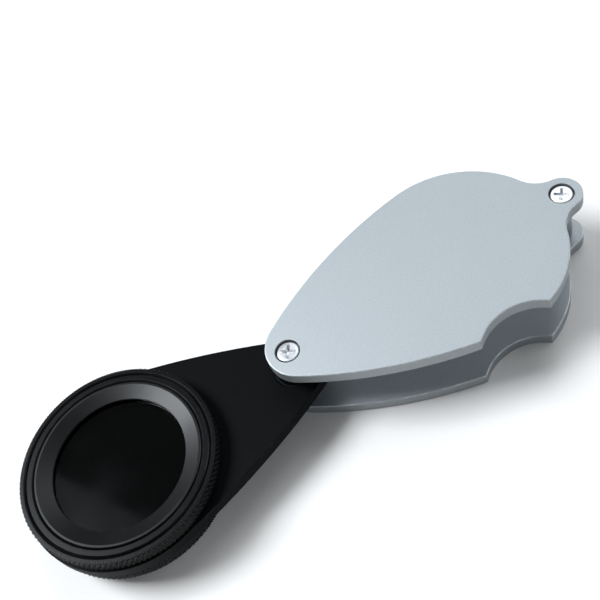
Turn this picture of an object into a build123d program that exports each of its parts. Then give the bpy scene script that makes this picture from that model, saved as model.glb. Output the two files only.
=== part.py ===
from build123d import *
from math import pi
import os

# Folding gem viewer: a black arm with a round filter head swings out of a case of two cover plates.
# Frame: the origin is at the centre of the footprint, on the surface the case lies on, +Z up.
# The case points along +X and the opened arm along -X. Every size is in millimetres.

# ---------------------------------------------------------------- driving dimensions
# Case
case_height = 11.2          # outer face to outer face
cover_thickness = 2.0
cover_edge_round = 0.4      # along both faces of each cover
cover_overhang = 0.0        # wide end beyond the folded arm
nose_radius = 5.2           # narrow end of the cover
nose_setback = 2.05         # centre of the narrow end, from the pivot
flank_radius = 66.0         # long gentle side curve
neck_radius = 4.5           # hollow curve between the wide end and the lobe
lobe_radius = 3.0
notch_radius = 8.0          # thumb notch
notch_depth = 3.0           # from the wide end's outline
notch_setback = 0.2         # towards the pivot, from the folded lens centre
notch_corner_round = 0.25

# Screws, all four the same
screw_radius = 0.8          # nominal thread
screw_engagement = 2.4      # thread inside the post or sleeve
screw_tip_chamfer = 0.2
screw_head_radius = 1.58
screw_head_height = 0.85
screw_head_round = 0.4
recess_radius = 1.85        # counterbore in the cover
recess_depth = 1.05
cross_length = 1.8
cross_width = 0.42
cross_depth = 0.55
cross_foot = 0.7            # length of the cross at its bottom
pivot_screw_turn = 58.0     # degrees, as tightened
end_screw_turn = 50.0

# Pivot and post
sleeve_radius = 1.9
bush_wall = 0.6
boss_wall = 0.45            # arm's boss round the bush
washer_lip = 0.1            # washer beyond the boss
washer_thickness = 0.5
post_radius = 1.4

# Arm
pivot_to_lens = 28.3
arm_thickness = 1.9
arm_flank_radius = 128.0    # slight outward curve of both long sides
hub_shoulder = 1.7          # arm's round end beyond the boss
arm_edge_round = 0.2
arm_lip = 0.2               # arm beyond the knurled rings

# Lens head, from the middle outwards
aperture_radius = 10.0
hood_width = 2.5            # sloping face round the aperture
hood_rim = 0.4              # flat top edge of the hood
hood_foot = 0.4             # straight edge at the bottom of the slope
hood_lead = 0.12            # chamfer round the outside of its rim
cell_wall = 1.2
ring_wall = 1.0
ring_chamfer = 0.25         # edges of the cell, and of the knurled rings' bore
rim_chamfer = 0.1           # outer edges of the knurled rings
knurl_pitch = 0.75
knurl_depth = 0.22
glass_seat = 1.8            # glass beyond the aperture, held by the hoods
glass_recess = 1.3          # outer glass face below the rim
filter_thickness = 0.4
gasket_thickness = 0.2
head_clearance = 0.4        # each knurled ring to its cover

# Fits
thread_clearance = 0.05     # radial
screw_hole_clearance = 0.1  # radial
running_clearance = 0.05    # radial, bush on sleeve
seat_clearance = 0.05       # radial, pieces dropped into a bore
press_clearance = 0.02      # radial, bush in the arm
end_float = 0.05            # axial, hub to each washer
post_clearance = 0.6        # folded arm to the end post

# ---------------------------------------------------------------- worked out
gap = case_height - 2 * cover_thickness
mid_z = case_height / 2

head_height = gap - 2 * head_clearance
ring_height = (head_height - arm_thickness) / 2
glass_stack = head_height - 2 * glass_recess
glass_thickness = (glass_stack - filter_thickness) / 2
hood_height = glass_recess - gasket_thickness

hood_radius = aperture_radius + hood_width
cell_bore = hood_radius + thread_clearance
cell_radius = cell_bore + cell_wall
ring_bore = cell_radius + thread_clearance
ring_radius = ring_bore + ring_wall
arm_eye_radius = cell_radius + seat_clearance
arm_end_radius = ring_radius + arm_lip
glass_radius = aperture_radius + glass_seat
cover_end_radius = arm_end_radius + cover_overhang

bush_bore = sleeve_radius + running_clearance
bush_radius = bush_bore + bush_wall
boss_radius = bush_radius + boss_wall
washer_radius = boss_radius + washer_lip
arm_hub_end_radius = boss_radius + hub_shoulder
hub_height = gap - 2 * (washer_thickness + end_float)

pivot_to_lobe = pivot_to_lens + arm_end_radius + post_clearance + post_radius
reach_left = pivot_to_lens + arm_end_radius
reach_right = pivot_to_lobe + lobe_radius
pivot_x = (reach_left - reach_right) / 2
lobe_x = pivot_x + pivot_to_lobe
folded_lens_x = pivot_x + pivot_to_lens
open_lens_x = pivot_x - pivot_to_lens

ON_FLOOR = (Align.CENTER, Align.CENTER, Align.MIN)
MARGIN = 1.0                # cutters run past the faces they cut
TOUCHING = 0.01             # two places nearer than this are the same


# ---------------------------------------------------------------- helpers
def disc(radius, height, z=0.0):
    """Solid disc standing on a height z."""
    return Pos(0, 0, z) * Cylinder(radius, height, align=ON_FLOOR)


def tube(bore, radius, height, z=0.0):
    """Disc with a hole right through it."""
    return disc(radius, height, z) - disc(bore, height + 2 * MARGIN, z - MARGIN)


def turned(*points):
    """Solid of revolution about Z from its half section, given as (radius, z) points."""
    return revolve(Plane.XZ * make_face(Polyline(*points, close=True)), Axis.Z)


def arc(centre, start, end):
    """Arc of less than half a turn about a centre."""
    centre, start, end = Vector(centre), Vector(start), Vector(end)
    middle = centre + ((start + end) / 2 - centre).normalized() * (start - centre).length
    return ThreePointArc(start, middle, end)


def crossing(centre_a, distance_a, centre_b, distance_b, side):
    """Point at given distances from two centres on the X axis, above it (side 1) or below (-1)."""
    apart = centre_b.X - centre_a.X
    along = (distance_a**2 - distance_b**2 + apart**2) / (2 * apart)
    return Vector(centre_a.X + along, side * (distance_a**2 - along**2) ** 0.5)


def toward(centre, target, distance):
    """Point at a distance from a centre, on the line to a target."""
    return centre + (target - centre).normalized() * distance


def both_sides(shape):
    """The same piece above and below the middle plane of the case."""
    return Pos(0, 0, mid_z) * shape, Pos(0, 0, mid_z) * mirror(shape, Plane.XY)


# ---------------------------------------------------------------- covers
def cover_outline():
    """Nose, long flank, wide end, hollow neck and lobe, the same on both sides of the X axis."""
    nose, lens, lobe = Vector(pivot_x + nose_setback, 0), Vector(folded_lens_x, 0), Vector(lobe_x, 0)
    flank = crossing(nose, flank_radius - nose_radius, lens, flank_radius - cover_end_radius, -1)
    neck = crossing(lens, cover_end_radius + neck_radius, lobe, lobe_radius + neck_radius, 1)

    tip = nose - Vector(nose_radius, 0)
    nose_end = toward(flank, nose, flank_radius)
    shoulder = toward(flank, lens, flank_radius)
    waist = toward(lens, neck, cover_end_radius)
    lobe_start = toward(lobe, neck, lobe_radius)
    lobe_tip = lobe + Vector(lobe_radius, 0)

    upper = Curve() + [
        arc(nose, tip, nose_end),
        arc(flank, nose_end, shoulder),
        arc(lens, shoulder, waist),
        arc(neck, waist, lobe_start),
        arc(lobe, lobe_start, lobe_tip),
    ]
    return make_face(upper + mirror(upper, Plane.XZ))


def cover():
    """Cover plate with its inner face at z = 0 and its outer face up."""
    notch_y = notch_depth - cover_end_radius - notch_radius
    outline = cover_outline() - Pos(folded_lens_x - notch_setback, notch_y) * Circle(notch_radius)
    plate = extrude(outline, cover_thickness)

    notch_corners = plate.edges().filter_by(Axis.Z).filter_by(lambda e: is_notch_corner(e, notch_y))
    plate = fillet(notch_corners, notch_corner_round)
    faces = plate.faces().sort_by(Axis.Z)
    plate = fillet(faces[0].edges() + faces[-1].edges(), cover_edge_round)

    for x in (pivot_x, lobe_x):
        plate -= Pos(x, 0, 0) * disc(recess_radius, recess_depth + MARGIN, cover_thickness - recess_depth)
        plate -= Pos(x, 0, 0) * disc(screw_radius + screw_hole_clearance, cover_thickness + MARGIN, -MARGIN)
    return plate


def is_notch_corner(edge, notch_y):
    """True for the two upright edges where the thumb notch meets the outline."""
    from_centre = edge.center() - Vector(folded_lens_x - notch_setback, notch_y, edge.center().Z)
    return abs(from_centre.length - notch_radius) < TOUCHING


# ---------------------------------------------------------------- screws, pivot and post
def cross_recess():
    """Two crossed tapering slots, their mouth at z = 0."""
    foot, mouth = cross_foot / 2, cross_length / 2
    slope = (mouth - foot) / cross_depth
    above = mouth + slope * MARGIN
    section = Polygon((-foot, -cross_depth), (foot, -cross_depth), (above, MARGIN), (-above, MARGIN),
                      align=None)
    slot = extrude(Plane.XZ * section, cross_width / 2, both=True)
    return slot + Rot(0, 0, 90) * slot


def screw(turn):
    """Pan-head screw with the underside of its head at z = 0 and its shank down."""
    head = disc(screw_head_radius, screw_head_height)
    head = fillet(head.edges().sort_by(Axis.Z)[-1], screw_head_round)
    shank_length = cover_thickness - recess_depth + screw_engagement
    shank = disc(screw_radius, shank_length, -shank_length)
    shank = chamfer(shank.edges().sort_by(Axis.Z)[0], screw_tip_chamfer)
    return head + shank - Pos(0, 0, screw_head_height) * Rot(0, 0, turn) * cross_recess()


def screw_pair(x, turn):
    """The screws through the top and bottom covers at one place."""
    head_z = mid_z - recess_depth
    top, bottom = both_sides(Pos(0, 0, head_z) * screw(turn))
    return Pos(x, 0, 0) * top, Pos(x, 0, 0) * bottom


def spacer(radius):
    """Round spacer between the covers, threaded right through."""
    return tube(screw_radius + thread_clearance, radius, gap, cover_thickness)


def washer_pair():
    """Thin washers on the sleeve, one against each cover."""
    upper = tube(bush_bore, washer_radius, washer_thickness, gap / 2 - washer_thickness)
    return both_sides(Pos(pivot_x, 0, 0) * upper)


# ---------------------------------------------------------------- arm
def arm():
    """Tapered plate with curved flanks, an eye for the lens cell, and a boss each side at the pivot."""
    lens, hub = Vector(open_lens_x, 0), Vector(pivot_x, 0)
    flank = crossing(lens, arm_flank_radius - arm_end_radius, hub, arm_flank_radius - arm_hub_end_radius, -1)
    lens_side = toward(flank, lens, arm_flank_radius)
    hub_side = toward(flank, hub, arm_flank_radius)
    upper = Curve() + [
        arc(lens, lens - Vector(arm_end_radius, 0), lens_side),
        arc(flank, lens_side, hub_side),
        arc(hub, hub_side, hub + Vector(arm_hub_end_radius, 0)),
    ]
    plate = extrude(make_face(upper + mirror(upper, Plane.XZ)), arm_thickness / 2, both=True)
    faces = plate.faces().sort_by(Axis.Z)
    plate = fillet(faces[0].edges() + faces[-1].edges(), arm_edge_round)

    plate += Pos(pivot_x, 0, 0) * disc(boss_radius, hub_height, -hub_height / 2)
    bores = ((pivot_x, bush_radius + press_clearance), (open_lens_x, arm_eye_radius))
    for x, radius in bores:
        plate -= Pos(x, 0, 0) * disc(radius, gap, -gap / 2)
    return Pos(0, 0, mid_z) * plate


def bush():
    """Plain bearing pressed in the hub, running on the sleeve."""
    return Pos(pivot_x, 0, 0) * tube(bush_bore, bush_radius, hub_height, mid_z - hub_height / 2)


# ---------------------------------------------------------------- lens head, centred on Z
def cell():
    """Tube through the arm: a narrow bore for the glasses between two wide mouths for the hoods."""
    half, seat = head_height / 2, glass_stack / 2
    glass_bore = glass_radius + seat_clearance
    lead = ring_chamfer
    return turned(
        (glass_bore, -seat), (cell_bore, -seat), (cell_bore, lead - half), (cell_bore + lead, -half),
        (cell_radius - lead, -half), (cell_radius, lead - half), (cell_radius, half - lead),
        (cell_radius - lead, half), (cell_bore + lead, half), (cell_bore, half - lead),
        (cell_bore, seat), (glass_bore, seat),
    )


def knurled_ring():
    """Lock ring above the arm, its rim cut with fine straight knurls."""
    low, high = arm_thickness / 2, arm_thickness / 2 + ring_height
    lead, rim = ring_chamfer, rim_chamfer
    blank = turned(
        (ring_bore, low), (ring_radius - rim, low), (ring_radius, low + rim),
        (ring_radius, high - rim), (ring_radius - rim, high), (ring_bore + lead, high),
        (ring_bore, high - lead),
    )
    teeth = round(2 * pi * ring_radius / knurl_pitch)
    tooth_angle = 360 / teeth
    outline = []
    for tooth in range(teeth):
        outline.append(Vector(ring_radius, 0).rotate(Axis.Z, tooth * tooth_angle))
        outline.append(Vector(ring_radius - knurl_depth, 0).rotate(Axis.Z, (tooth + 0.5) * tooth_angle))
    knurls = extrude(make_face(Polyline(*outline, close=True)), high + MARGIN)
    return blank & knurls


def hood():
    """Retaining ring with a wide sloping face down to the aperture."""
    low = glass_stack / 2 + gasket_thickness
    high = low + hood_height
    return turned(
        (aperture_radius, low), (hood_radius, low), (hood_radius, high - hood_lead),
        (hood_radius - hood_lead, high), (hood_radius - hood_rim, high),
        (aperture_radius, low + hood_foot),
    )


def glass():
    """Clear cover glass above the filter."""
    return disc(glass_radius, glass_thickness, filter_thickness / 2)


def gasket():
    """Thin ring between the glass and the foot of the hood."""
    return tube(aperture_radius + gasket_thickness, glass_radius, gasket_thickness, glass_stack / 2)


def colour_filter():
    """Dark filter sheet between the two glasses."""
    return disc(glass_radius, filter_thickness, mid_z - filter_thickness / 2)


def on_lens(shapes):
    """Move pieces made round the Z axis to the opened lens centre."""
    return [Pos(open_lens_x, 0, 0) * shape for shape in shapes]


# ---------------------------------------------------------------- assembly
top_cover, bottom_cover = both_sides(Pos(0, 0, gap / 2) * cover())
pivot_screw_top, pivot_screw_bottom = screw_pair(pivot_x, pivot_screw_turn)
end_screw_top, end_screw_bottom = screw_pair(lobe_x, end_screw_turn)
pivot_washer_top, pivot_washer_bottom = washer_pair()
upper_knurled_ring, lower_knurled_ring = on_lens(both_sides(knurled_ring()))
upper_hood_ring, lower_hood_ring = on_lens(both_sides(hood()))
front_glass, rear_glass = on_lens(both_sides(glass()))
upper_gasket, lower_gasket = on_lens(both_sides(gasket()))
lens_cell, filter_sheet = on_lens([Pos(0, 0, mid_z) * cell(), colour_filter()])

nodes = {
    "top_cover": top_cover,
    "bottom_cover": bottom_cover,
    "pivot_sleeve": Pos(pivot_x, 0, 0) * spacer(sleeve_radius),
    "pivot_screw_top": pivot_screw_top,
    "pivot_screw_bottom": pivot_screw_bottom,
    "pivot_washer_top": pivot_washer_top,
    "pivot_washer_bottom": pivot_washer_bottom,
    "end_post": Pos(lobe_x, 0, 0) * spacer(post_radius),
    "end_screw_top": end_screw_top,
    "end_screw_bottom": end_screw_bottom,
    "lens_arm": arm(),
    "pivot_bush": bush(),
    "lens_cell": lens_cell,
    "upper_knurled_ring": upper_knurled_ring,
    "lower_knurled_ring": lower_knurled_ring,
    "upper_hood_ring": upper_hood_ring,
    "lower_hood_ring": lower_hood_ring,
    "front_glass": front_glass,
    "rear_glass": rear_glass,
    "colour_filter": filter_sheet,
    "upper_gasket": upper_gasket,
    "lower_gasket": lower_gasket,
}

os.makedirs("parts", exist_ok=True)
for name, shape in nodes.items():
    export_step(shape, f"parts/{name}.step")
    box = shape.bounding_box()
    print(f"{name:22s} {shape.volume:8.1f} mm3  x {box.min.X:7.2f} {box.max.X:7.2f}  "
          f"y {box.min.Y:7.2f} {box.max.Y:7.2f}  z {box.min.Z:6.2f} {box.max.Z:6.2f}")
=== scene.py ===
# %% [markdown]
# # A folding gem viewer, finished piece by piece
# The design already exists as a frame of plain CAD parts: two cover plates, a pivot, and an arm that
# carries a round filter head. This lesson loads that frame and builds the look around it: smooth
# surfaces with soft edges, knurling, screw heads, and a finish for every metal, glass and rubber part.
# The first step loads the frame and moves every part into world space, with no parents.

import bmesh
import bpy
import numpy as np
from mathutils import Matrix, Vector


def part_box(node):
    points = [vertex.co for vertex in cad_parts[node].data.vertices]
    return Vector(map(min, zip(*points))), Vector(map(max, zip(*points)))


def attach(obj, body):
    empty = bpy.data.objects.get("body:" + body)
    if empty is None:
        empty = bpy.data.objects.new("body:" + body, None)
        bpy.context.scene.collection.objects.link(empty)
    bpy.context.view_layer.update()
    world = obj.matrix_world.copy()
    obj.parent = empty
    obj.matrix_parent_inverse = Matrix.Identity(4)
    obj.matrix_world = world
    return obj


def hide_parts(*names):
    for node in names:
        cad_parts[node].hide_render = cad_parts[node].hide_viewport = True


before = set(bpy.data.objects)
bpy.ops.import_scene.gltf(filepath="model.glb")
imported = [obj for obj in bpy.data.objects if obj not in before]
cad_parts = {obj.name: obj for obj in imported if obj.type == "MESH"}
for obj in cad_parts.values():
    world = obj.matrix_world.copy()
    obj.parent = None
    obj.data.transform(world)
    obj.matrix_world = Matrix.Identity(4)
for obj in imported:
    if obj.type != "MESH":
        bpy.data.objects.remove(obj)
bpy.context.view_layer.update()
MM = 0.001

# %% [markdown]
# The covers, the arm and the head share a few places and heights. They are read from the frame, so
# that every new surface lands where the CAD says. Everything below is worked out in millimetres
# and turned into metres when a mesh is made.

# %% Places read from the frame
def span(node):
    """Lowest and highest corner of a CAD node, in millimetres to a hundredth."""
    return [np.round(np.array(corner) / MM, 2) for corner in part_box(node)]


def axis_of(node):
    """Place (x, y) of the upright axis of a round CAD node."""
    low, high = span(node)
    return (low + high)[:2] / 2


pivot, lobe, lens = axis_of("pivot_bush"), axis_of("end_screw_top"), axis_of("front_glass")
folded_lens = 2 * pivot - lens
case_top, gap_top = span("top_cover")[1][2], span("top_cover")[0][2]
mid_z = (span("bottom_cover")[0][2] + case_top) / 2
arm_top, ring_top = span("upper_knurled_ring")[0][2], span("upper_knurled_ring")[1][2]
print("pivot", pivot, "lobe", lobe, "lens", lens, "middle height", mid_z)

# %% [markdown]
# The camera stands above the front of the case and is rolled, so the viewer lies across the frame
# from lower left to upper right. It is close, so the head looks larger than the lobe. Aim, distance,
# direction and roll are easier to read and change than a matrix, so the matrix is made from them.

# %% Camera
AIM = Vector((3.35, 10.8, 5.6)) * MM
DISTANCE = 139.1 * MM
AZIMUTH, ELEVATION, ROLL = np.radians([-6.70, 53.02, -24.37])


def aimed(place, direction, roll=0.0):
    """Matrix of a camera or light at a place that looks along a direction, turned about it by roll."""
    upright = direction.to_track_quat("-Z", "Y").to_matrix().to_4x4()
    return Matrix.Translation(place) @ upright @ Matrix.Rotation(roll, 4, "Z")


back = Vector((np.sin(AZIMUTH) * np.cos(ELEVATION), -np.cos(AZIMUTH) * np.cos(ELEVATION), np.sin(ELEVATION)))
camera = bpy.data.objects.new("camera", bpy.data.cameras.new("camera"))
bpy.context.scene.collection.objects.link(camera)
camera.data.lens = 54.84
camera.data.sensor_width = 36.0
camera.data.clip_start, camera.data.clip_end = 0.01, 10.0
camera.matrix_world = aimed(AIM + back * DISTANCE, -back, ROLL)
bpy.context.scene.camera = camera
bpy.context.scene.view_settings.view_transform = "Standard"
print("camera at", [round(v / MM, 1) for v in camera.matrix_world.translation])

# %% [markdown]
# Matt metal and black anodising show only what they reflect, so the light is built from soft panels.
# The main one is a softbox high on the left and a little behind: a bright core, and a dim cloth round
# it. The sloping face round the window catches the core as one highlight. The flat window mirrors the
# straight edge of the cloth, so the cloth's width and turn were worked out from where that edge has to
# show in the window. A panel on the right evens out the case and lights the gap between its covers.
# The room round them is pale at the level of the table and dark overhead, so that only the panels show
# in the upward faces. These directions were fitted to one view, and other views get what follows.

# %% Helpers for nodes and colours, light panels and floor
LIGHT_TINT = "#F4FAFF"  # a slightly cool white, the same for every panel
ROOM, ROOM_LEVEL, ROOM_OVERHEAD = "#E6ECF2", 0.85, 0.08     # colour, strength at the table and overhead
FADE_START, FADE_END = 0.15, 0.42       # height of a direction where the room starts and stops darkening


def add(tree, kind, inputs=(), **settings):
    """Add a shader node. Each input takes a value, or a link when it is given another node's socket."""
    node = tree.nodes.new("ShaderNode" + kind)
    for key, value in settings.items():
        setattr(node, key, value)
    for key, value in dict(inputs).items():
        if isinstance(value, bpy.types.NodeSocket):
            tree.links.new(value, node.inputs[key])
        else:
            node.inputs[key].default_value = value
    return node


def srgb(code):
    """Linear colour with alpha from an sRGB hex code."""
    value = np.array([int(code[i:i + 2], 16) for i in (1, 3, 5)]) / 255
    linear = np.where(value <= 0.04045, value / 12.92, ((value + 0.055) / 1.055) ** 2.4)
    return (*linear.tolist(), 1.0)


def panel(name, direction, distance, width, height, radiance, roll=0.0):
    """Soft rectangular light that faces the case from a direction, distance and size in metres, turned
    by roll in degrees. Its power is radiance x area x pi."""
    light = bpy.data.lights.new(name, "AREA")
    light.shape, light.size, light.size_y = "RECTANGLE", width, height
    light.energy = radiance * width * height * np.pi
    light.color = srgb(LIGHT_TINT)[:3]
    holder = bpy.data.objects.new(name, light)
    bpy.context.scene.collection.objects.link(holder)
    direction = Vector(direction).normalized()
    holder.matrix_world = aimed(direction * distance, -direction, np.radians(roll))


panel("softbox_core", (-0.585, 0.375, 0.72), 0.60, 0.26, 0.26, 22.0)
panel("softbox_cloth", (-0.46, 0.30, 0.835), 0.60, 0.3464, 0.46, 0.26, roll=-15.1)
panel("right_panel", (0.42, 0.45, 0.79), 0.65, 0.40, 0.40, 2.6)
panel("right_fill", (0.94, -0.12, 0.33), 0.70, 0.40, 0.22, 4.5)
panel("front_fill", (0.35, -0.65, 0.67), 0.80, 0.60, 0.50, 0.5)

world = bpy.data.worlds.new("studio")
bpy.context.scene.world = world
world.use_nodes = True
air = world.node_tree
backdrop = air.nodes["Background"]
backdrop.inputs["Color"].default_value = srgb(ROOM)
height = add(air, "SeparateXYZ", {"Vector": add(air, "TexCoord").outputs["Generated"]})
fade = add(air, "MapRange", {"Value": height.outputs["Z"], "From Min": FADE_START, "From Max": FADE_END,
                             "To Min": ROOM_LEVEL, "To Max": ROOM_OVERHEAD})
air.links.new(fade.outputs[0], backdrop.inputs["Strength"])

FLOOR_HALF = 0.8
floor_mesh = bpy.data.meshes.new("floor")
floor_mesh.from_pydata([(x * FLOOR_HALF, y * FLOOR_HALF, 0) for x, y in ((-1, -1), (1, -1), (1, 1), (-1, 1))],
                       [], [(0, 1, 2, 3)])
floor = bpy.data.objects.new("floor", floor_mesh)
bpy.context.scene.collection.objects.link(floor)
print("floor", FLOOR_HALF * 2, "m wide")

# %% [markdown]
# ## Tools for surfaces
# Every piece here is turned, milled or stamped, so every surface is either a profile carried round an
# axis or a profile carried along an outline. Both are grids: one direction runs round the piece and
# the other runs across it. A piece is a few such grids whose shared borders are welded.
# Real edges are never sharp. Each profile corner becomes a small arc, with one more point just
# beyond each end of the arc, so that the flat faces beside it stay flat when they are shaded smooth.

# %% Arcs and rounded profiles
EDGE_SUPPORT = 0.03     # from an arc's end to the extra point on the flat beside it


def arc(centre, radius, start, end, steps):
    """Points centre + radius x (cos a, sin a), with a going evenly from start to end in degrees."""
    a = np.radians(np.linspace(start, end, steps + 1))
    return np.column_stack([centre[0] + radius * np.cos(a), centre[1] + radius * np.sin(a)])


def rounded(corners, radius, steps=5, closed=True):
    """Profile with its corners rounded: each corner becomes an arc that touches both of its sides.
    Corners are (r, z) or (r, z, own radius), and an own radius of 0 keeps the bare point. Gives the
    points and how far each is into an edge, 0 on the flats and 1 at the middle of an arc."""
    corners = [(*c, radius)[:3] for c in corners]
    count, points, edge = len(corners), [], []
    for i, (r, z, own) in enumerate(corners):
        here = np.array([r, z])
        if own == 0 or (not closed and i in (0, count - 1)):
            points.append(here[None])
            edge.append([0.0])
            continue
        before = np.array(corners[i - 1][:2]) - here
        after = np.array(corners[(i + 1) % count][:2]) - here
        room = min(np.linalg.norm(before), np.linalg.norm(after))
        before, after = before / np.linalg.norm(before), after / np.linalg.norm(after)
        half = np.arccos(np.clip(before @ after, -1, 1)) / 2
        reach = min(own / np.tan(half), 0.42 * room)
        size = reach * np.tan(half)
        middle = here + (before + after) / np.linalg.norm(before + after) * size / np.sin(half)
        t = np.linspace(0, 1, steps + 1)[:, None]
        turn = (np.pi - 2 * half) * (t - 0.5)
        inward, along = (here - middle) / np.linalg.norm(here - middle), after - before
        along /= np.linalg.norm(along)
        bend = middle + size * (inward * np.cos(turn) + along * np.sin(turn))
        gap = min(EDGE_SUPPORT, 0.04 * room)
        points.append(np.vstack([here + before * (reach + gap), bend, here + after * (reach + gap)]))
        edge.append(np.concatenate([[0.0], np.sin(np.pi * t[:, 0]), [0.0]]))
    return np.vstack(points), np.concatenate(edge)


print("a rounded rectangle has", len(rounded([(0, 0), (4, 0), (4, 3), (0, 3)], 0.4)[0]), "points")

# %% [markdown]
# `lathe` carries a profile round an upright axis. Knurls and threads are cut below the turned surface,
# so `lathe` can take a function that gives the radius left by the cutter at each point.
# `levels` stacks outlines of equal length at their own heights. Both grids carry two more numbers for
# each point: how far it is into an edge, where wear starts, and how far it is along the profile in
# millimetres, which places the fine lines that a cutting tool leaves.

# %% Grids
def lathe(centre, profile, closed=True, columns=192, cut=None):
    """Surface of revolution: (centre + r cos a, centre + r sin a, z) for each profile point (r, z) and
    each angle a. columns is a number of even steps or the angles themselves, in radians."""
    points, edge = profile
    a = np.linspace(0, 2 * np.pi, columns, endpoint=False) if np.isscalar(columns) else columns
    r, z = (np.repeat(points[:, i:i + 1], len(a), 1) for i in (0, 1))
    edge = np.repeat(edge[:, None], len(a), 1)
    if cut is not None:
        left = cut(a[None], z)
        edge = np.where(left < r, 0.0, edge)
        r = np.minimum(r, left)
    length = np.concatenate([[0], np.cumsum(np.linalg.norm(np.diff(points, axis=0), axis=1))])
    return {"points": np.dstack([centre[0] + r * np.cos(a), centre[1] + r * np.sin(a), z]),
            "edge": edge, "across": np.repeat(length[:, None], len(a), 1), "closed": closed}


def levels(outlines, heights, edge):
    """Grid from outlines of equal length, each at its own height and with its own edge value."""
    outlines = np.asarray(outlines)
    shape = outlines.shape[:2]
    z = np.repeat(np.asarray(heights, float)[:, None], shape[1], 1)
    edge = np.repeat(np.asarray(edge, float)[:, None], shape[1], 1)
    return {"points": np.dstack([outlines, z]), "edge": edge, "across": z, "closed": False}


# %% [markdown]
# `build` welds the grids of a piece into one closed mesh. Points at the same place become one, and a
# four-sided face that lost a corner in that, as at the middle of a disc, becomes a triangle.

# %% Weld grids into one object
WELD = 1e-4             # points this near, in millimetres, become one


def grid_faces(grid, first):
    """Corners of the four-sided faces of a grid whose points are numbered from first."""
    rows, cols = grid["edge"].shape
    index = first + np.arange(rows * cols).reshape(rows, cols)
    upper = np.roll(index, -1, 0) if grid["closed"] else index[1:]
    lower = index if grid["closed"] else index[:-1]
    return np.stack([lower, np.roll(lower, -1, 1), np.roll(upper, -1, 1), upper], -1).reshape(-1, 4)


def build(name, grids, body, replaces, crease=35.0):
    """One object from several grids: welded, closed, facing outwards and shaded smooth, with a
    crease where two faces meet at more than the given angle. It rides on its body and stands for
    the CAD nodes that it replaces."""
    points = np.vstack([g["points"].reshape(-1, 3) for g in grids])
    starts = np.cumsum([0] + [g["edge"].size for g in grids])
    faces = np.vstack([grid_faces(g, s) for g, s in zip(grids, starts)])
    _, keep, same = np.unique(np.round(points / WELD).astype(np.int64), axis=0,
                              return_index=True, return_inverse=True)
    faces = same.ravel()[faces]
    repeated = faces == np.roll(faces, -1, 1)
    corner_lost = faces[repeated.sum(1) == 1]
    triangles = corner_lost[~repeated[repeated.sum(1) == 1]].reshape(-1, 3)

    mesh = bpy.data.meshes.new(name)
    mesh.from_pydata((points[keep] * MM).tolist(), [], faces[~repeated.any(1)].tolist() + triangles.tolist())
    for label in ("edge", "across"):
        value = np.concatenate([g[label].ravel() for g in grids])[keep].astype(np.float32)
        mesh.attributes.new(label, "FLOAT", "POINT").data.foreach_set("value", value)
    turn_outwards(mesh)
    mesh.shade_smooth()
    mesh.set_sharp_from_angle(angle=np.radians(crease))
    piece = bpy.data.objects.new(name, mesh)
    bpy.context.scene.collection.objects.link(piece)
    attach(piece, body)
    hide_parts(*replaces)
    return piece


def turn_outwards(mesh):
    """Turn every face to point out, and print how many faces there are and whether any edge is open."""
    work = bmesh.new()
    work.from_mesh(mesh)
    bmesh.ops.recalc_face_normals(work, faces=work.faces)
    if work.calc_volume(signed=True) < 0:
        bmesh.ops.reverse_faces(work, faces=work.faces)
    open_edges = sum(not edge.is_manifold for edge in work.edges)
    volume = work.calc_volume(signed=True) / MM**3
    print(f"{mesh.name}: {len(work.faces)} faces, {open_edges} open edges, {volume:.1f} cubic mm")
    work.to_mesh(mesh)
    work.free()


# %% [markdown]
# ## The cover plates
# Each cover is stamped or milled from 2 mm plate. Its outline is a chain of arcs that touch: a small
# nose, a long gentle flank, a wide end, a hollow neck and a lobe. One side also has a thumb notch with
# small rounded corners. Where arcs touch, their centres and the touching point are on one line, so
# the whole chain follows from centres and radii. An edge is rounded with parallel outlines: every point
# moves inwards along its normal, and an arc keeps its centre. Only the notch's corners are too small
# for that, so there the corner radius grows with the inset.

# %% Cover outline
COVER_EDGE = 0.40       # radius along both faces of the cover
NOSE, FLANK, WIDE_END, NECK, LOBE, NOTCH = 5.2, 66.0, 15.0, 4.5, 3.0, 8.0
NOTCH_CORNER = 0.25
NOSE_SETBACK = 2.05     # from the pivot to the centre of the nose arc
NOTCH_SETBACK, NOTCH_DEPTH = 0.2, 3.0
nose = pivot + [NOSE_SETBACK, 0.0]


def crossing(a, distance_a, b, distance_b, side):
    """Point at given distances from two centres, left (1) or right (-1) of the line from a to b."""
    ab = np.subtract(b, a)
    apart = np.hypot(*ab)
    along = (distance_a**2 - distance_b**2 + apart**2) / (2 * apart)
    across = side * np.sqrt(distance_a**2 - along**2)
    return a + (along * ab + across * np.array([-ab[1], ab[0]])) / apart


def touching_arcs(arcs, inset):
    """Outline of arcs that touch, from normal (1, 0) to normal (-1, 0), moved inwards by an inset.
    An arc is (centre, radius, steps), and a hollow arc has a negative radius. At a joint the normal
    is (next centre - centre) / (next radius - radius), and a point is centre - (radius - inset) x normal."""
    centres = np.array([a[0] for a in arcs])
    radii = np.array([a[1] for a in arcs])
    normals = np.diff(centres, axis=0) / np.diff(radii)[:, None]
    angles = np.unwrap([0.0, *np.arctan2(normals[:, 1], normals[:, 0]), -np.pi])
    outline = []
    for (centre, radius, steps), start, end in zip(arcs, angles[:-1], angles[1:]):
        a = np.linspace(start, end, steps + 1)[:-1]
        outline.append(centre - (radius - inset) * np.column_stack([np.cos(a), np.sin(a)]))
    outline.append([arcs[-1][0] + [radii[-1] - inset, 0.0]])
    return np.vstack(outline)


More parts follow.
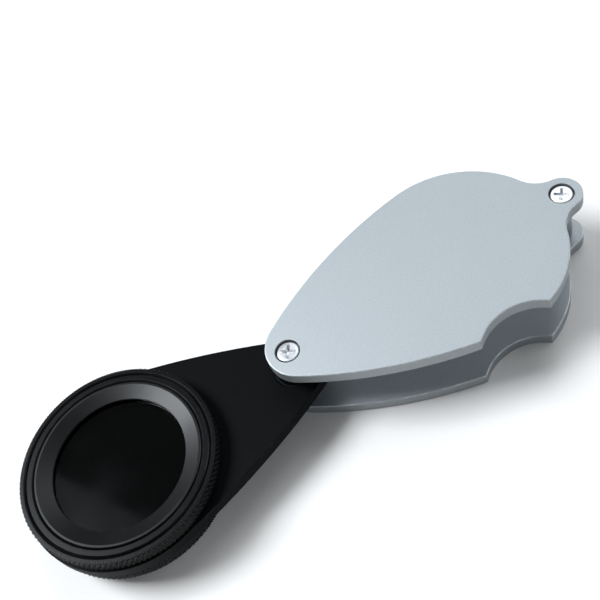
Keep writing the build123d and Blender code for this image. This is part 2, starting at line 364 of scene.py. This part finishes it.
def cover_side(notched, inset):
    """Upper half of the cover's outline from nose tip to lobe tip, with or without the thumb notch."""
    flank = crossing(nose, FLANK - NOSE, folded_lens, FLANK - WIDE_END, -1)
    neck = crossing(folded_lens, WIDE_END + NECK, lobe, LOBE + NECK, 1)
    before, after = [(nose, NOSE, 14)], [(neck, -NECK, 14), (lobe, LOBE, 16)]
    if not notched:
        return touching_arcs(before + [(flank, FLANK, 56), (folded_lens, WIDE_END, 60)] + after, inset)
    corner = max(NOTCH_CORNER, inset + EDGE_SUPPORT)
    notch = folded_lens + [-NOTCH_SETBACK, WIDE_END - NOTCH_DEPTH + NOTCH]
    left = crossing(flank, FLANK - corner, notch, NOTCH + corner, 1)
    right = crossing(folded_lens, WIDE_END - corner, notch, NOTCH + corner, -1)
    between = [(flank, FLANK, 44), (left, corner, 6), (notch, -NOTCH, 30), (right, corner, 6),
               (folded_lens, WIDE_END, 30)]
    return touching_arcs(before + between + after, inset)


def whole(upper, lower):
    """Closed loop from an upper half outline, and a lower half given as if it were the upper one."""
    return np.vstack([upper, (lower * [1, -1])[-2:0:-1]])


def cover_outline(inset):
    return whole(cover_side(False, inset), cover_side(True, inset))


outline = cover_outline(0)
print("cover outline:", len(outline), "points, from", outline.min(0).round(2), "to", outline.max(0).round(2))

# %% [markdown]
# The flat faces are ruled: straight rows run from the outline in to a ring round each screw recess,
# and between the two rings they end on the middle line, where both halves of the plate meet. The
# profile across the edge gives each outline its inset and height. The recesses and their holes are
# lathe grids that start at the same points as the rings.

# %% Cover plates
RECESS, RECESS_DEPTH, SCREW_HOLE = 1.85, 1.05, 0.9
RIM_BREAK = 0.09        # tiny rounding left by deburring a drilled or milled hole
NEAR_HOLE = 0.13        # ring of flat face round a hole
NOSE_STEPS, TIP_STEPS = 24, 30      # points that a half outline gives to each ring
FLAT_ROWS = 5                       # rows of faces across a flat face


def ring_angles(steps, bend=1.0):
    """Angles round a ring, from -x over the top and back underneath. steps are for half a turn."""
    half = np.pi * (1 - np.linspace(0, 1, steps + 1) ** bend)
    return np.concatenate([half, -half[-2:0:-1]])


def ruled(outer, hole_a, radius_a, steps_a, hole_b, radius_b, steps_b):
    """Outlines that go evenly from a closed outline to a loop made of a ring round hole a, the middle
    line out and back, and a ring round hole b."""
    half = len(outer) // 2
    ring_a = arc(hole_a, radius_a, 180, 0, steps_a)
    ring_b = arc(hole_b, radius_b, 180, 0, steps_b)
    middle = np.linspace(ring_a[-1], ring_b[0], half - steps_a - steps_b + 1)
    upper = np.vstack([ring_a[:-1], middle, ring_b[1:]])
    loop = whole(upper, upper)
    w = np.linspace(0, 1, FLAT_ROWS + 1)[:, None, None]
    return outer * (1 - w) + loop * w


def cover_grids(side):
    """Grids of one cover: side 1 is the top cover and -1 the bottom one, the same turned over."""
    def up(z):
        return mid_z + side * (z - mid_z)

    profile, edge = rounded([(-COVER_EDGE - 0.05, case_top), (0, case_top), (0, gap_top),
                             (-COVER_EDGE - 0.05, gap_top)], COVER_EDGE, steps=7, closed=False)
    wall = [cover_outline(-r) for r, _ in profile]
    outside = ruled(wall[0], pivot, RECESS + NEAR_HOLE, NOSE_STEPS, lobe, RECESS + NEAR_HOLE, TIP_STEPS)
    inside = ruled(wall[-1], pivot, SCREW_HOLE + NEAR_HOLE, NOSE_STEPS, lobe, SCREW_HOLE + NEAR_HOLE, TIP_STEPS)
    outlines = [*outside[:0:-1], *wall, *inside[1:]]
    heights = [case_top] * FLAT_ROWS + list(profile[:, 1]) + [gap_top] * FLAT_ROWS
    flat = [0] * FLAT_ROWS
    grids = [levels(outlines, [up(z) for z in heights], flat + list(edge) + flat)]

    floor_z = case_top - RECESS_DEPTH
    hole, edge = rounded([(RECESS + NEAR_HOLE, case_top), (RECESS, case_top), (RECESS, floor_z),
                          (SCREW_HOLE, floor_z), (SCREW_HOLE, gap_top), (SCREW_HOLE + NEAR_HOLE, gap_top)],
                         RIM_BREAK, closed=False)
    hole[:, 1] = up(hole[:, 1])
    for place, steps in ((pivot, NOSE_STEPS), (lobe, TIP_STEPS)):
        grids.append(lathe(place, (hole, edge), closed=False, columns=ring_angles(steps)))
    return grids


top_plate = build("top_plate", cover_grids(1), "case", ["top_cover"])
bottom_plate = build("bottom_plate", cover_grids(-1), "case", ["bottom_cover"])

# %% [markdown]
# ## The swinging arm
# The arm is cut from thin plate in the same way. It is round about the lens, tapers to the hub along
# two slightly curved flanks, and has a bored eye for the lens cell. The hub's boss stands proud of the
# plate on both sides, so that the arm turns on the washers and never rubs on the covers.

# %% Arm
ARM_END, HUB_END, ARM_FLANK, EYE, BOSS, BUSH_SEAT = 15.0, 4.7, 128.0, 13.8, 3.0, 2.57
ARM_EDGE, BOSS_FOOT = 0.20, 0.25
arm_low = 2 * mid_z - arm_top
boss_low, boss_high = span("lens_arm")[0][2], span("lens_arm")[1][2]
EYE_STEPS, HUB_STEPS = 80, 24


def arm_outline(inset):
    """Lens arc, long shallow flank and hub arc, all touching, the same on both sides."""
    flank = crossing(lens, ARM_FLANK - ARM_END, pivot, ARM_FLANK - HUB_END, -1)
    side = touching_arcs([(lens, ARM_END, 56), (flank, ARM_FLANK, 72), (pivot, HUB_END, 14)], inset)
    return whole(side, side)


def arm_grids():
    profile, edge = rounded([(-ARM_EDGE - 0.05, arm_top), (0, arm_top), (0, arm_low),
                             (-ARM_EDGE - 0.05, arm_low)], ARM_EDGE, closed=False)
    wall = [arm_outline(-r) for r, _ in profile]
    rings = (lens, EYE + NEAR_HOLE, EYE_STEPS, pivot, BOSS + BOSS_FOOT + NEAR_HOLE, HUB_STEPS)
    above, below = ruled(wall[0], *rings), ruled(wall[-1], *rings)
    heights = [arm_top] * FLAT_ROWS + list(profile[:, 1]) + [arm_low] * FLAT_ROWS
    flat = [0] * FLAT_ROWS
    plate = levels([*above[:0:-1], *wall, *below[1:]], heights, flat + list(edge) + flat)

    eye = rounded([(EYE + NEAR_HOLE, arm_top), (EYE, arm_top), (EYE, arm_low), (EYE + NEAR_HOLE, arm_low)],
                  RIM_BREAK, closed=False)
    foot = BOSS + BOSS_FOOT + NEAR_HOLE
    boss = rounded([(foot, arm_top), (BOSS, arm_top, BOSS_FOOT), (BOSS, boss_high), (BUSH_SEAT, boss_high),
                    (BUSH_SEAT, boss_low), (BOSS, boss_low), (BOSS, arm_low, BOSS_FOOT), (foot, arm_low)],
                   RIM_BREAK, closed=False)
    return [plate, lathe(lens, eye, closed=False, columns=ring_angles(EYE_STEPS)),
            lathe(pivot, boss, closed=False, columns=ring_angles(HUB_STEPS))]


swing_arm = build("swing_arm", arm_grids(), "arm", ["lens_arm"])

# %% [markdown]
# ## The knurled lock rings
# A ring above the arm and one below clamp the lens cell. Their rims are knurled: two wheels with
# slanting ridges press crossing V grooves into the turned rim and leave rows of little diamonds. The
# depth at a point is the deeper of two saw-tooth waves, one rising to the left and one to the right,
# each counted once per pitch round the rim and once per pitch up it. The edges are chamfered after
# knurling, so the smaller of the two radii is the one that is left.

# %% Knurled rings
RING_BORE, RING, RING_CHAMFER, RIM_CHAMFER = 13.8, 14.8, 0.25, 0.10
KNURL_DEPTH, KNURL_RISE = 0.28, 1.0     # depth of the grooves, height of a diamond
KNURLS, SAMPLES = 120, 8                # diamonds round the rim, columns for each


def knurled(a, z):
    """Radius left by the knurling: RING - depth x the deeper of two crossing saw-tooth waves. The
    tops of the diamonds are cut flat, because the grooves don't quite meet."""
    up = (z - arm_top) / KNURL_RISE
    waves = [np.abs(2 * np.mod(KNURLS * a / (2 * np.pi) + lean * up, 1) - 1) for lean in (1, -1)]
    return RING - KNURL_DEPTH * np.clip((np.maximum(*waves) - 0.2) / 0.8, 0, 1)


def ring_grid(side):
    """Closed ring. Its outer wall has rows close enough for the diamonds, whose tops count as edges."""
    low, high, lead, rim = arm_top, ring_top, RING_CHAMFER, RIM_CHAMFER
    corners = [(RING, low + rim + 0.4, 0), (RING, low + rim), (RING - rim, low), (RING_BORE, low),
               (RING_BORE, high - lead), (RING_BORE + lead, high), (RING - rim, high), (RING, high - rim),
               (RING, high - rim - 0.4, 0)]
    around, around_edge = rounded(corners, 0.06, steps=4, closed=False)
    rows = round((around[-1, 1] - around[0, 1]) / KNURL_RISE * SAMPLES)
    wall = np.linspace(around[-1], around[0], rows + 1)[1:-1]
    profile = np.vstack([around, wall])
    grid = lathe(lens, (profile, np.concatenate([around_edge, np.zeros(len(wall))])), columns=KNURLS * SAMPLES,
                 cut=knurled)
    r = np.linalg.norm(grid["points"][..., :2] - lens, axis=-1)
    grid["edge"] = np.where(r > RING - 0.001, 0.7, grid["edge"])
    grid["points"][..., 2] = mid_z + side * (grid["points"][..., 2] - mid_z)
    return grid


upper_ring = build("upper_lock_ring", [ring_grid(1)], "arm", ["upper_knurled_ring"])
lower_ring = build("lower_lock_ring", [ring_grid(-1)], "arm", ["lower_knurled_ring"])
print(KNURLS, "diamonds round each rim")

# %% [markdown]
# ## The lens cell, hoods, glasses and filter
# The cell is a turned tube through the arm. A hood ring screws into each end and slopes down to the
# window like a shallow funnel, which keeps stray light off the glass. Between the hoods lie a gasket, a
# glass, the dark filter sheet, a second glass and a second gasket. All of them are profiles on
# one axis. The glass has ground chamfers. The filter is a hair thinner than the space between the
# glasses, because two faces in exactly the same place can't be told apart when light is traced.

# %% Turned pieces of the head
def flipped(profile):
    """The same profile below the middle plane."""
    points, edge = profile
    return np.column_stack([points[:, 0], 2 * mid_z - points[:, 1]]), edge


def pair(name, profile, body, replaces, place, columns=256):
    """A turned piece above the middle plane and its twin below."""
    return [build(f"{word}_{name}", [lathe(place, p, columns=columns)], body, [node])
            for word, p, node in zip(("upper", "lower"), (profile, flipped(profile)), replaces)]


CELL_BORE, CELL, GLASS_BORE, GLASS = 12.55, 13.75, 11.85, 11.8
WINDOW, HOOD, HOOD_RIM, HOOD_FOOT = 10.0, 12.5, 12.1, 0.4
cell_high = span("lens_cell")[1][2]
glass_low, glass_high = span("front_glass")[0][2], span("front_glass")[1][2]
hood_low, hood_high = span("upper_hood_ring")[0][2], span("upper_hood_ring")[1][2]

seat, lead = hood_low - 0.2, RING_CHAMFER
half_cell = [(GLASS_BORE, seat), (CELL_BORE, seat), (CELL_BORE, cell_high - lead), (CELL_BORE + lead, cell_high),
             (CELL - lead, cell_high), (CELL, cell_high - lead)]
cell_profile = rounded(half_cell + [(r, 2 * mid_z - z) for r, z in half_cell[::-1]], 0.07, steps=4)
cell = build("cell_tube", [lathe(lens, cell_profile, columns=320)], "arm", ["lens_cell"])

hood_profile = rounded([(WINDOW, hood_low), (HOOD, hood_low), (HOOD, hood_high - 0.12), (HOOD - 0.12, hood_high),
                        (HOOD_RIM, hood_high, 0.16), (WINDOW, hood_low + HOOD_FOOT, 0.1)], 0.05)
hoods = pair("hood", hood_profile, "arm", ["upper_hood_ring", "lower_hood_ring"], lens, 320)

glass_profile = rounded([(0, glass_low, 0), (GLASS - 0.15, glass_low), (GLASS, glass_low + 0.15),
                         (GLASS, glass_high - 0.15), (GLASS - 0.15, glass_high), (0, glass_high, 0)], 0.03, steps=3)
glasses = pair("glass", glass_profile, "arm", ["front_glass", "rear_glass"], lens)

AIR = 0.02              # between the filter sheet and each glass
filter_low, filter_high = span("colour_filter")[0][2] + AIR, span("colour_filter")[1][2] - AIR
filter_profile = rounded([(0, filter_low, 0), (GLASS, filter_low), (GLASS, filter_high), (0, filter_high, 0)],
                         0.05, steps=3)
filter_disc = build("filter_disc", [lathe(lens, filter_profile)], "arm", ["colour_filter"])

# %% [markdown]
# ## The end post and the washers
# The post is a short turned bar, threaded at both ends, and its ends are broken with a small chamfer.
# The washers are punched from sheet: one edge is rolled over by the punch and the other is sharp.

# %% Post and washers
POST, POST_BORE, WASHER_BORE, WASHER = 1.4, 0.85, 1.95, 3.1
post_low, post_high = span("end_post")[0][2], span("end_post")[1][2]
post_profile = rounded([(POST_BORE, post_low), (POST - 0.12, post_low), (POST, post_low + 0.12),
                        (POST, post_high - 0.12), (POST - 0.12, post_high), (POST_BORE, post_high)], 0.05)
post = build("turned_post", [lathe(lobe, post_profile, columns=96)], "case", ["end_post"])

washer_low = span("pivot_washer_top")[0][2]
washer_profile = rounded([(WASHER_BORE, washer_low, 0.05), (WASHER, washer_low, 0.16), (WASHER, gap_top, 0.05),
                          (WASHER_BORE, gap_top, 0.05)], 0.05)
washers = pair("washer", washer_profile, "case", ["pivot_washer_top", "pivot_washer_bottom"],
               pivot, 128)

# %% [markdown]
# ## The screws
# Four pan-head screws hold the case. A head is formed cold from wire: it is slightly domed, its edge
# is round, and a punch leaves the tapering cross. From above, every outline round the head is
# star-shaped: a ray from the centre meets it once. So one set of angles serves the cross and all the
# rings round it, and the whole screw is one grid from the tip of its thread to the foot of the cross.
# The thread is a groove that rises by one pitch for each turn.

# %% Screws
SHANK, HEAD, HEAD_HIGH, THREAD_PITCH, THREAD_DEPTH = 0.8, 1.58, 0.85, 0.35, 0.11
HEAD_FLAT, CROSS, CROSS_WIDTH, CROSS_DEPTH, CROSS_FOOT = 1.22, 1.12, 0.26, 0.55, 0.40
MOUTH_RINGS = (0.35, 0.7, 0.94)     # shares of the way from the rim of the flat top to the cross
# The second number is the share of the worn colour. In the cross this colour is painted shade on the lobe screws and
# painted highlight on the pivot screws.
CROSS_STEPS = [(0.0, 1.0), (0.03, 1.0), (0.10, 1.0), (0.35, 0.9), (0.70, 0.8), (0.96, 0.8)]  # share of depth, wear
SIDE_POINTS = np.array([0.63, 0.38, 0.22, 0.10])     # along a slot's side, so that the angles are even


def cross_loop(length, width):
    """Outline of the cross: slots of a half length and half width, corners rounded."""
    side = width + (length - width) * SIDE_POINTS
    arm = [(length, 0, 0), (length, width, 0.09)] + [(s, width, 0) for s in side]
    arm += [(width, width, 0.07)] + [(width, s, 0) for s in side[::-1]] + [(width, length, 0.09)]
    quarter = np.array(arm)
    turns = [quarter]
    for _ in range(3):
        last = turns[-1]
        turns.append(np.column_stack([-last[:, 1], last[:, 0], last[:, 2]]))
    return rounded([tuple(c) for c in np.vstack(turns)], 0.09, steps=3)[0]


def screw_grid(place, side, turn):
    """A screw in the top (1) or bottom (-1) cover, turned in degrees."""
    head_z = case_top - RECESS_DEPTH
    tip_z = span("end_screw_top")[0][2]
    mouth = cross_loop(CROSS, CROSS_WIDTH)
    angles = np.arctan2(mouth[:, 1], mouth[:, 0])

    shank = np.linspace([SHANK, tip_z + 0.2], [SHANK, head_z - 0.25], 73)
    head, edge = rounded([(SHANK, head_z - 0.1, 0), (SHANK, head_z, 0.05), (HEAD, head_z, 0.05),
                          (HEAD, head_z + HEAD_HIGH - 0.03, 0.30), (HEAD_FLAT + 0.04, head_z + HEAD_HIGH - 0.01, 0),
                          (HEAD_FLAT, head_z + HEAD_HIGH, 0)], 0.1, steps=7, closed=False)
    profile = np.vstack([[(0, tip_z), (SHANK - 0.2, tip_z)], shank, head])
    edge = np.concatenate([np.zeros(2 + len(shank)), edge])

    def threaded(a, z):
        """Radius left by the thread: a V groove whose phase is height / pitch - angle / full turn."""
        groove = np.abs(2 * np.mod(z / THREAD_PITCH - a / (2 * np.pi), 1) - 1)
        fade = np.clip((head_z - 0.25 - z) / 0.2, 0, 1) * np.clip((z - tip_z) / 0.2, 0, 1)
        return np.where(z < head_z - 0.2, SHANK - THREAD_DEPTH * groove * fade, np.inf)

    body = lathe((0, 0), (profile, edge), closed=False, columns=angles, cut=threaded)
    loops, heights, edges = [], [], []
    top = head_z + HEAD_HIGH
    for w in MOUTH_RINGS:
        ring = HEAD_FLAT * np.column_stack([np.cos(angles), np.sin(angles)])
        loops.append(ring * (1 - w) + mouth * w)
        heights.append(top)
        edges.append(0.0)
    # The walls of the cross take the worn colour: painted shade in the recess on the lobe screws, painted highlight
    # on the pivot screws.
    for depth, wear_and_cross_paint in CROSS_STEPS:
        length = CROSS_FOOT + (CROSS - CROSS_FOOT) * (1 - depth)
        loops.append(cross_loop(length, CROSS_WIDTH * (1 - 0.1 * depth)) if depth else mouth)
        heights.append(top - depth * CROSS_DEPTH)
        edges.append(wear_and_cross_paint)
    loops.append(np.zeros_like(mouth))
    heights.append(top - CROSS_DEPTH)
    edges.append(0.8)
    recess = levels(np.array([body["points"][-1, :, :2], *loops]), [top, *heights], [0.0, *edges])
    for grid in (body, recess):
        x, y, z = grid["points"].transpose(2, 0, 1)
        c, s = np.cos(np.radians(turn)), np.sin(np.radians(turn))
        grid["points"] = np.dstack([place[0] + c * x - s * y, place[1] + s * x + c * y,
                                    mid_z + side * (z - mid_z)])
    return [body, recess]


screws = {}
for node, place, side, turn in (("pivot_screw_top", pivot, 1, 58), ("pivot_screw_bottom", pivot, -1, 31),
                                ("end_screw_top", lobe, 1, 50), ("end_screw_bottom", lobe, -1, 77)):
    screws[node] = build(f"{node}_threaded", screw_grid(place, side, turn), "case", [node])

# %% [markdown]
# ## Finishes
# A finish is more than a colour. On this viewer it is the grain left by bead blasting, the fine rings
# left by a turning tool, the cloudiness of anodising, the rub marks of a pocket, and bare metal where
# an edge has lost its colour. Patterns are sized in millimetres, so a helper turns a size into a
# texture scale.

# %% Pattern scale
def per(size):
    """Texture scale of a pattern whose features are size millimetres across."""
    return 1 / (size * MM)


print("a pattern of 0.2 mm has the scale", round(per(0.2)))

# %% [markdown]
# Most parts share four things, so one function makes them and takes their strengths: fine grain that
# moves both the surface and its gloss, slow clouds in the gloss, long thin rub marks, and worn edges.
# Wear follows the "edge" number that each mesh carries, broken up by noise, because a real edge wears
# in patches. Turned parts add tool lines: noise that changes only along the profile, so it runs in
# rings round the part.

# %% One recipe for worked metal
def worked_metal(name, colour, wear_and_cross_paint, metallic, roughness, grain=(0.3, 0.006), clouds=0.05, wear=0.5,
                 worn_roughness=0.3, lines=None, rubs=0.3, ior=1.5, specular=0.5, painted_wall_shade=1.0):
    """Material of a worked part. grain is (size, height) and lines is (spacing, height), both in
    millimetres. clouds is how far the roughness wanders. wear runs from 0, new, to 1, bare edges.
    specular is the mirror strength of a part that isn't bare metal, 0.5 for a plain one. The last
    argument is how bright upright faces are painted beside flat ones: a painted shade, 1.0 for none."""
    material = bpy.data.materials.new(name)
    material.use_nodes = True
    tree = material.node_tree
    shader = tree.nodes["Principled BSDF"]
    shader.inputs["Metallic"].default_value = metallic
    shader.inputs["IOR"].default_value = ior
    shader.inputs["Specular IOR Level"].default_value = specular
    place = add(tree, "TexCoord").outputs["Object"]

    fine = add(tree, "TexNoise", {"Vector": place, "Scale": per(grain[0]), "Detail": 3.0, "Roughness": 0.6})
    slow = add(tree, "TexNoise", {"Vector": place, "Scale": per(9.0), "Detail": 3.0, "Roughness": 0.55})
    patch = add(tree, "TexNoise", {"Vector": place, "Scale": per(1.3), "Detail": 4.0, "Roughness": 0.65})

    stretched = add(tree, "Mapping", {"Vector": place, "Rotation": (0.0, 0.0, 0.6), "Scale": (0.035, 1.0, 0.3)})
    streak = add(tree, "TexNoise", {"Vector": stretched.outputs[0], "Scale": per(0.22), "Detail": 2.0})
    rub = add(tree, "MapRange", {"Value": streak.outputs[0], "From Min": 0.66, "From Max": 0.74, "To Max": rubs})

    edge = add(tree, "Attribute", attribute_name="edge")
    broken = add(tree, "MapRange", {"Value": patch.outputs[0], "From Min": 0.30, "From Max": 0.68,
                                    "To Min": -0.5, "To Max": 1.0})
    # On the screws this mask also paints the cross: painted shade on the lobe screws, painted highlight on the pivot
    # screws.
    worn_place = add(tree, "Math", {0: edge.outputs["Fac"], 1: broken.outputs[0]}, operation="MULTIPLY")
    bare = add(tree, "MapRange", {"Value": worn_place.outputs[0], "From Min": 0.12, "From Max": 0.75, "To Max": wear})

    tint = add(tree, "MapRange", {"Value": fine.outputs[0], "From Min": 0.3, "From Max": 0.7,
                                  "To Min": 0.93, "To Max": 1.07})
    # Painted shade: upright faces get a darker base colour than flat ones, by the factor given for walls.
    facing = add(tree, "SeparateXYZ", {"Vector": add(tree, "TexCoord").outputs["Normal"]})
    upright = add(tree, "Math", {0: facing.outputs["Z"]}, operation="ABSOLUTE")
    wall = add(tree, "MapRange", {"Value": upright.outputs[0], "From Min": 0.1, "From Max": 0.9, "To Min": painted_wall_shade})
    value = add(tree, "Math", {0: tint.outputs[0], 1: wall.outputs[0]}, operation="MULTIPLY")
    shade = add(tree, "HueSaturation", {"Color": srgb(colour), "Value": value.outputs[0]})
    rubbed = add(tree, "Math", {0: bare.outputs[0], 1: rub.outputs[0]}, operation="MAXIMUM")
    mixed = add(tree, "Mix", {0: rubbed.outputs[0], 6: shade.outputs[0], 7: srgb(wear_and_cross_paint)}, data_type="RGBA")
    tree.links.new(mixed.outputs[2], shader.inputs["Base Color"])

    gloss = add(tree, "MapRange", {"Value": slow.outputs[0], "From Min": 0.3, "From Max": 0.7,
                                   "To Min": roughness - clouds, "To Max": roughness + clouds})
    polished = add(tree, "Mix", {0: rubbed.outputs[0], 2: gloss.outputs[0], 3: worn_roughness})
    tree.links.new(polished.outputs[0], shader.inputs["Roughness"])

    relief = add(tree, "Bump", {"Height": fine.outputs[0], "Strength": 1.0, "Distance": grain[1] * MM})
    if lines:
        across = add(tree, "Attribute", attribute_name="across")
        tool = add(tree, "TexNoise", {"W": across.outputs["Fac"], "Scale": 1 / lines[0], "Detail": 2.0},
                   noise_dimensions="1D")
        relief = add(tree, "Bump", {"Height": tool.outputs[0], "Strength": 1.0, "Distance": lines[1] * MM,
                                    "Normal": relief.outputs[0]})
    tree.links.new(relief.outputs[0], shader.inputs["Normal"])
    return material


# %% [markdown]
# ** Case**: aluminium, bead-blasted and then anodised in its natural silver. Blasting leaves dimples
# about a tenth of a millimetre wide, drawn here twice as coarse so that they show. They scatter light
# widely, so the plates look pale, even and matt, with a slight blue from the oxide. The rims have been
# rubbed a little brighter by pockets and fingers. The side walls look darker than the light alone
# makes them, so their colour is painted darker than the flat faces: a painted shade.
# **Case**: aluminium, bead-blasted and then anodised in its natural silver. Blasting leaves dimples
# about a tenth of a millimetre wide, drawn here twice as coarse so that they show. They scatter light
# widely, so the plates look pale, even and matt, with a slight blue from the oxide. The rims have been
# rubbed a little brighter by pockets and fingers. The side walls look darker than the light alone
# makes them. The true reason isn't known.

# %% Case finish
# The side walls are painted 30 per cent darker than the flat faces: a painted shade.
case_metal = worked_metal("bead_blasted_anodised_aluminium", "#B7BCBF", "#DCDFE1", metallic=1.0, roughness=0.62,
                          grain=(0.22, 0.010), clouds=0.015, wear=0.45, worn_roughness=0.40, rubs=0.08, painted_wall_shade=0.70)
print("case:", case_metal.name)

# %% [markdown]
# **Arm, lock rings, cell and hoods**: aluminium dyed black. The dye sits in a clear hard oxide layer, so
# these parts reflect like a dark gloss or satin solid and not like bare metal. The arm was blasted
# first and is the most matt. The rings and hoods were turned, and still show the tool's fine rings.
# Diamond tips and corners have lost some dye and show grey.
# The mirror strengths are a fit, not a measure: real anodising reflects more than the values here,
# which were lowered until the flat faces looked as black as they should under these panels.

# %% Black finishes
arm_black = worked_metal("blasted_black_anodised_plate", "#08090A", "#3A3D40", metallic=0.0, roughness=0.50,
                         grain=(0.25, 0.012), clouds=0.04, wear=0.35, worn_roughness=0.4, rubs=0.05, ior=1.55,
                         specular=0.05)
ring_black = worked_metal("turned_black_anodised_aluminium", "#0A0B0C", "#54585C", metallic=0.0, roughness=0.33,
                          grain=(0.2, 0.003), clouds=0.04, wear=0.40, worn_roughness=0.3, rubs=0.05,
                          lines=(0.12, 0.003), ior=1.62, specular=0.09)
hood_black = worked_metal("satin_black_anodised_hood", "#090A0B", "#4A4D50", metallic=0.0, roughness=0.36,
                          grain=(0.2, 0.002), clouds=0.03, wear=0.35, worn_roughness=0.3, rubs=0.04,
                          lines=(0.12, 0.003), ior=1.62, specular=0.18)
print("black parts:", *[m.name for m in (arm_black, ring_black, hood_black)])

# %% [markdown]
# ** Screws, washers, post, sleeve and bush**: the screws are steel with bright zinc plating. On the two
# at the lobe, the crosses are painted dull grey: a painted shade in the recess. The two at the pivot
# are a greyer copy of the same plating, a painted shade, with rub marks from handling, and their
# crosses are painted bright, a painted highlight. The washers are dull stainless steel, the post is
# turned from aluminium and left grey, and the hidden sleeve and bush are plain turned steel and brass.

# %% Bright finishes
# Lobe screws: their worn colour paints the cross dark grey, a painted shade in the recess.
screw_plate = worked_metal("zinc_plated_steel", "#F2F4F5", "#8E9196", metallic=1.0, roughness=0.44,
                           grain=(0.4, 0.001), clouds=0.05, wear=0.9, worn_roughness=0.5, rubs=0.10)
# Pivot screws: a greyer copy of the plating, a painted shade. Their worn colour paints the cross bright, a painted
# highlight.
pivot_screw_shade_and_highlight = worked_metal("rubbed_zinc_plated_steel_painted_shade_and_highlight", "#E2E4E7", "#F0F1F2", metallic=1.0, roughness=0.42,
                          grain=(0.3, 0.004), clouds=0.08, wear=0.9, worn_roughness=0.25, rubs=0.5)
washer_steel = worked_metal("dull_stainless_washer", "#B9BDC0", "#D4D6D8", metallic=1.0, roughness=0.40,
                            grain=(0.3, 0.001), clouds=0.05, wear=0.3, worn_roughness=0.3, rubs=0.1)
post_metal = worked_metal("turned_grey_aluminium_post", "#9EA3A7", "#C9CCCE", metallic=1.0, roughness=0.34,
                          grain=(0.2, 0.003), clouds=0.06, wear=0.4, worn_roughness=0.25, rubs=0.1,
                          lines=(0.10, 0.006))
sleeve_steel = worked_metal("turned_steel_sleeve", "#B4B7BA", "#D0D2D4", metallic=1.0, roughness=0.28,
                            grain=(0.15, 0.003))
bush_brass = worked_metal("turned_brass_bush", "#C9A24E", "#E3C67C", metallic=1.0, roughness=0.30,
                          grain=(0.15, 0.004))
bright = (screw_plate, pivot_screw_shade_and_highlight, washer_steel, post_metal, sleeve_steel, bush_brass)
print("bright parts:", *[m.name for m in bright])

# %% [markdown]
# **Glasses, filter and gaskets**: the glasses are polished on their faces, with a trace of wiping haze
# in their gloss. The filter behind passes only narrow bands of deep red and green light, so the window
# looks black whether its glass is clear or smoked. It is drawn smoked, because clear glass over the
# filter rendered with stray second reflections and grain. The gaskets are moulded black rubber, matt.

# %% Glass, filter and rubber
def plain(name, sockets, pattern, low, high, bump=0.0):
    """Material of one colour whose roughness wanders from low to high with noise of a size in mm."""
    material = bpy.data.materials.new(name)
    material.use_nodes = True
    tree = material.node_tree
    shader = tree.nodes["Principled BSDF"]
    for socket, value in sockets.items():
        shader.inputs[socket].default_value = value
    place = add(tree, "TexCoord").outputs["Object"]
    noise = add(tree, "TexNoise", {"Vector": place, "Scale": per(pattern), "Detail": 4.0})
    gloss = add(tree, "MapRange", {"Value": noise.outputs[0], "From Min": 0.35, "From Max": 0.7,
                                   "To Min": low, "To Max": high})
    tree.links.new(gloss.outputs[0], shader.inputs["Roughness"])
    if bump:
        relief = add(tree, "Bump", {"Height": noise.outputs[0], "Distance": bump * MM})
        tree.links.new(relief.outputs[0], shader.inputs["Normal"])
    return material


window_glass = plain("polished_smoked_glass",
                     {"Base Color": srgb("#5C6060"), "Transmission Weight": 1.0, "IOR": 1.52}, 6.0, 0.05, 0.10)
filter_gel = plain("narrow_band_filter_sheet",
                   {"Base Color": srgb("#030403"), "IOR": 1.50, "Specular IOR Level": 0.0}, 4.0, 0.12, 0.2)
black_rubber = plain("moulded_black_rubber", {"Base Color": srgb("#1B1B1C"), "IOR": 1.52}, 0.2, 0.6, 0.75, bump=0.01)
stage_white = plain("matt_white_table", {"Base Color": srgb("#F4F1EE")}, 40.0, 0.75, 0.85)

finishes = {
    case_metal: [top_plate, bottom_plate],
    arm_black: [swing_arm],
    ring_black: [upper_ring, lower_ring, cell],
    hood_black: hoods,
    screw_plate: [screws["end_screw_top"], screws["end_screw_bottom"]],
    pivot_screw_shade_and_highlight: [screws["pivot_screw_top"], screws["pivot_screw_bottom"]],
    washer_steel: washers,
    post_metal: [post],
    sleeve_steel: [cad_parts["pivot_sleeve"]],
    bush_brass: [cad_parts["pivot_bush"]],
    window_glass: glasses,
    filter_gel: [filter_disc],
    black_rubber: [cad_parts[name] for name in ("upper_gasket", "lower_gasket")],
    stage_white: [floor],
}
for material, pieces in finishes.items():
    for piece in pieces:
        piece.data.materials.clear()
        piece.data.materials.append(material)
print(len(finishes), "finishes on", sum(map(len, finishes.values())), "pieces")
